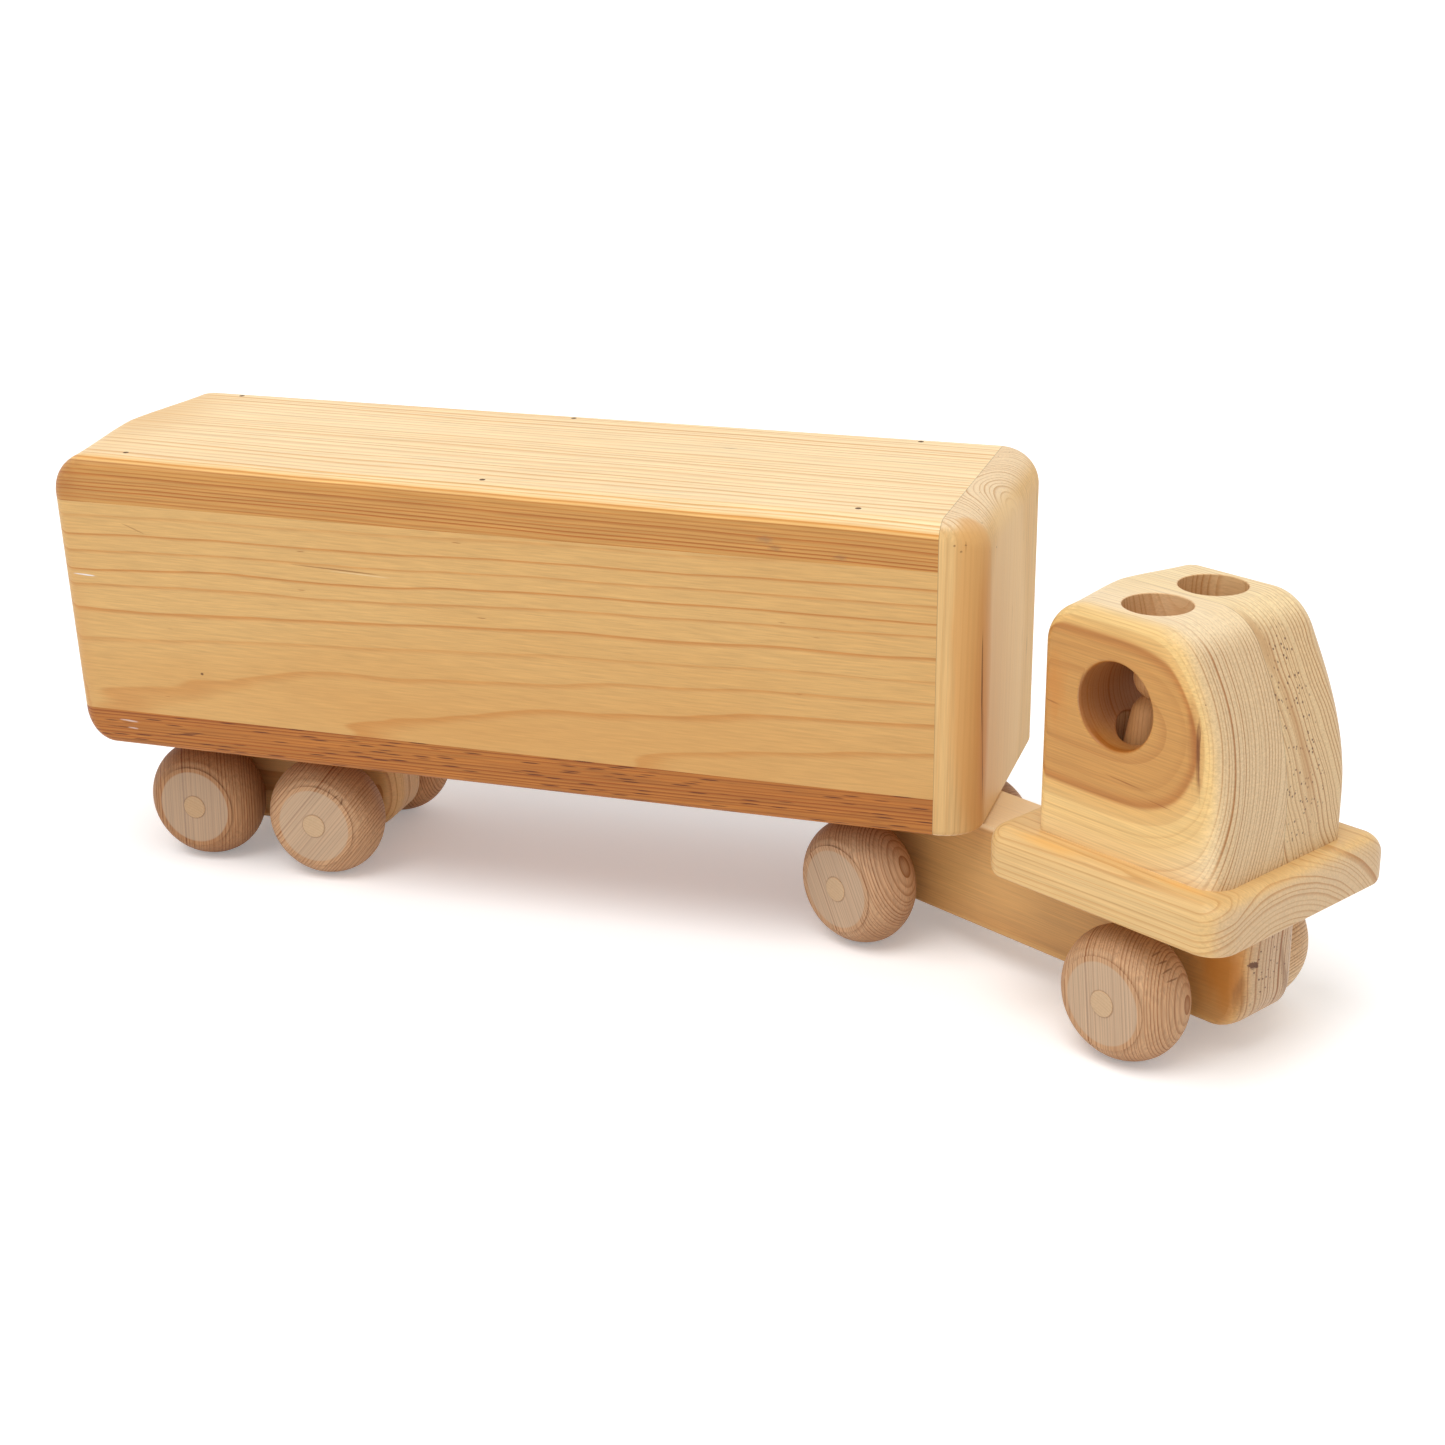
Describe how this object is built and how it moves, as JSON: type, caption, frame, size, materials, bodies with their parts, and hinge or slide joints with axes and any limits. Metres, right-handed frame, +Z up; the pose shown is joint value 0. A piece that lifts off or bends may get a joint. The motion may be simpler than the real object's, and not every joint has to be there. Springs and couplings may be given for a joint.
{
  "type": "toy_truck",
  "caption": "Wooden toy semi-truck: a box trailer on fixed bogie wheels, hitched by a dowel to a tractor whose cab has round seat holes and a window, with a loose peg driver.",
  "frame": {"origin": "On the floor under the middle of the toy's bounding box, with the tractor standing turned to the right.", "axes": "+X runs forward along the trailer, +Y to the trailer's left, +Z up."},
  "size_m": [0.6838, 0.251, 0.2326],
  "materials": {
    "roof_pine": "sanded, oiled",
    "panel_pine": "sanded, oiled",
    "floor_pine": "sanded, oiled",
    "front_pine": "sanded, oiled",
    "cab_pine": "sanded, oiled",
    "fender_pine": "sanded, oiled",
    "chassis_pine": "sanded, oiled",
    "bogie_pine": "sanded, oiled",
    "wheel_wood": "sanded, oiled",
    "dowel_wood": "sanded, oiled",
    "peg_wood": "sanded, oiled",
    "nail_steel": "plain"
  },
  "bodies": {
    "trailer": {"trailer_roof_board": "roof_pine", "trailer_floor_board": "floor_pine", "trailer_right_panel": "panel_pine", "trailer_left_panel": "panel_pine", "trailer_front_block": "front_pine", "roof_brads": "nail_steel", "floor_brads": "nail_steel", "bogie_block": "bogie_pine"},
    "tractor": {"chassis_beam": "chassis_pine", "hitch_pin": "dowel_wood", "fender_board": "fender_pine", "cab_right_half": "cab_pine", "cab_left_half": "cab_pine"},
    "bogie_rear_wheels": {"bogie_rear_axle": "dowel_wood", "bogie_rear_wheel_right": "wheel_wood", "bogie_rear_wheel_left": "wheel_wood"},
    "bogie_front_wheels": {"bogie_front_axle": "dowel_wood", "bogie_front_wheel_right": "wheel_wood", "bogie_front_wheel_left": "wheel_wood"},
    "tractor_rear_wheels": {"tractor_rear_axle": "dowel_wood", "tractor_rear_wheel_right": "wheel_wood", "tractor_rear_wheel_left": "wheel_wood"},
    "tractor_front_wheels": {"tractor_front_axle": "dowel_wood", "tractor_front_wheel_right": "wheel_wood", "tractor_front_wheel_left": "wheel_wood"},
    "driver": {"peg_driver": "peg_wood"}
  },
  "joints": [
    {"name": "hitch_turn", "type": "hinge", "parent": "trailer", "child": "tractor", "pos_m": [0.09493, 0.04728, 0.0741], "axis": [0, 0, 1], "range_deg": [-85.65, 143.65]},
    {"name": "bogie_rear_roll", "type": "hinge", "parent": "trailer", "child": "bogie_rear_wheels", "pos_m": [-0.28447, 0.04728, 0.0326], "axis": [0, 1, 0], "continuous": true},
    {"name": "bogie_front_roll", "type": "hinge", "parent": "trailer", "child": "bogie_front_wheels", "pos_m": [-0.20957, 0.04728, 0.0326], "axis": [0, 1, 0], "continuous": true},
    {"name": "tractor_rear_roll", "type": "hinge", "parent": "tractor", "child": "tractor_rear_wheels", "pos_m": [0.11072, 0.03822, 0.0326], "axis": [0.4977, 0.8673, 0], "continuous": true},
    {"name": "tractor_front_roll", "type": "hinge", "parent": "tractor", "child": "tractor_front_wheels", "pos_m": [0.25921, -0.04699, 0.0326], "axis": [0.4977, 0.8673, 0], "continuous": true},
    {"name": "driver_lift", "type": "slide", "parent": "tractor", "child": "driver", "axis": [0, 0, 1], "range_m": [0, 0.09]}
  ]
}
